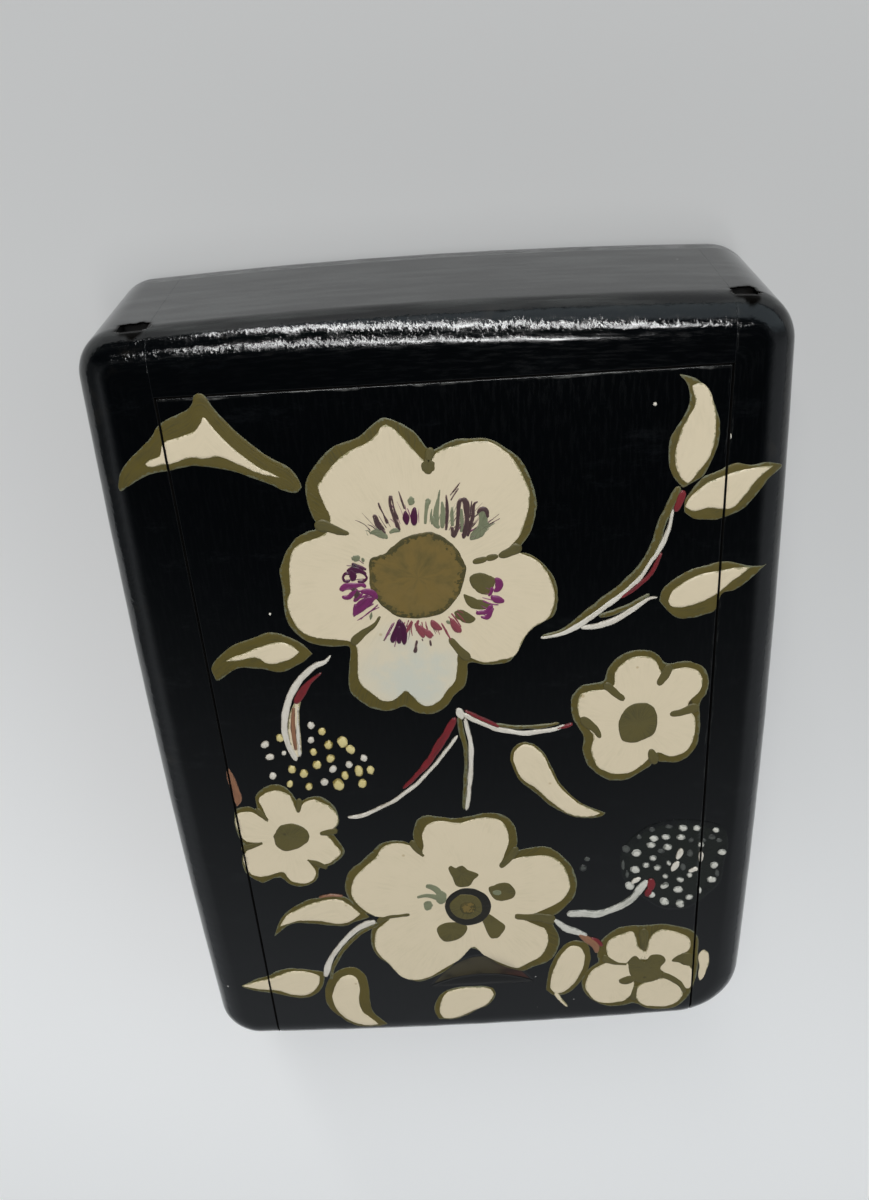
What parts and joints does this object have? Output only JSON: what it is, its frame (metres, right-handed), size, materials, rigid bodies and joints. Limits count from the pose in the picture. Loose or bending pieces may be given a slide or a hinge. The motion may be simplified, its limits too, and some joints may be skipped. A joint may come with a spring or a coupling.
{
  "type": "sliding-lid box",
  "caption": "Flat lacquered wooden box with bowed sides, rounded edges and a flush sliding lid with a finger notch, painted with flowers.",
  "frame": {"origin": "middle of the footprint, on the surface the box lies on with its painted lid up", "axes": "+X across the box, +Y along it towards the closed end, so the lid slides out towards -Y, +Z from the back panel up to the painted lid"},
  "size_m": [0.085, 0.1196, 0.029],
  "materials": {
    "black_lacquer": "gloss lacquer over wood",
    "groove_paste": "dull filler",
    "pin_steel": "drawn wire",
    "cream_paint": "brushed gloss paint",
    "bronze_paint": "brushed metallic paint",
    "accent_paint": "brushed gloss paint"
  },
  "bodies": {
    "case": {"back_panel": "black_lacquer", "left_side": "black_lacquer", "right_side": "black_lacquer", "closed_end": "black_lacquer", "exit_end": "black_lacquer", "groove_filler_left": "groove_paste", "groove_filler_right": "groove_paste", "corner_pins": "pin_steel", "back_pins": "pin_steel"},
    "lid": {"sliding_lid": "black_lacquer"}
  },
  "joints": [
    {"name": "lid_slide", "type": "slide", "parent": "case", "child": "lid", "axis": [0, -1, 0], "range_m": [0, 0.118]}
  ]
}
